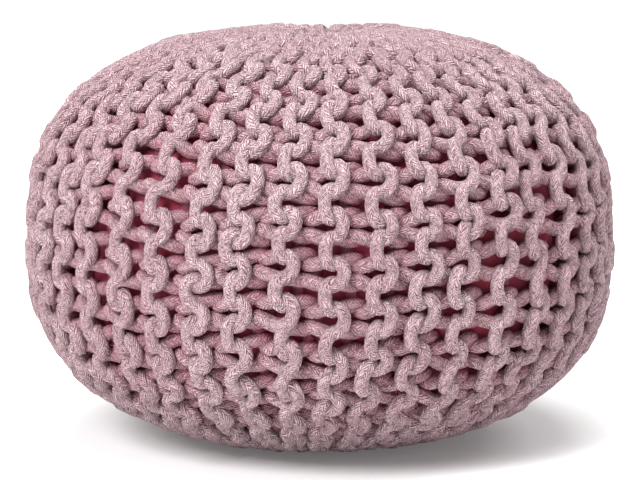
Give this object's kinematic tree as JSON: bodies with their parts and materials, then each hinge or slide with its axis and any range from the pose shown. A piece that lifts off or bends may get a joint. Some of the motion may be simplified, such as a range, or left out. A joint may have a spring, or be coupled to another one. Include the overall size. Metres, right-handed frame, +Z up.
{
  "type": "round knitted pouf",
  "caption": "Round low pouf to sit or rest the feet on: a chunky cord knit in ridges, gathered at crown and base over a filled bag.",
  "frame": {"origin": "on the floor, under the middle of the pouf", "axes": "+Z up through the two gathers, which is the pouf's axis of revolution and its shortest extent; the front of the picture faces -Y"},
  "size_m": [0.4994, 0.4998, 0.35],
  "materials": {
    "cord": "matt braided cotton cord, dusty pink",
    "bag_cloth": "matt plain-woven cotton, deep rose"
  },
  "bodies": {
    "root": {"knitted_cover": "cord", "inner_bag": "bag_cloth"}
  },
  "joints": []
}
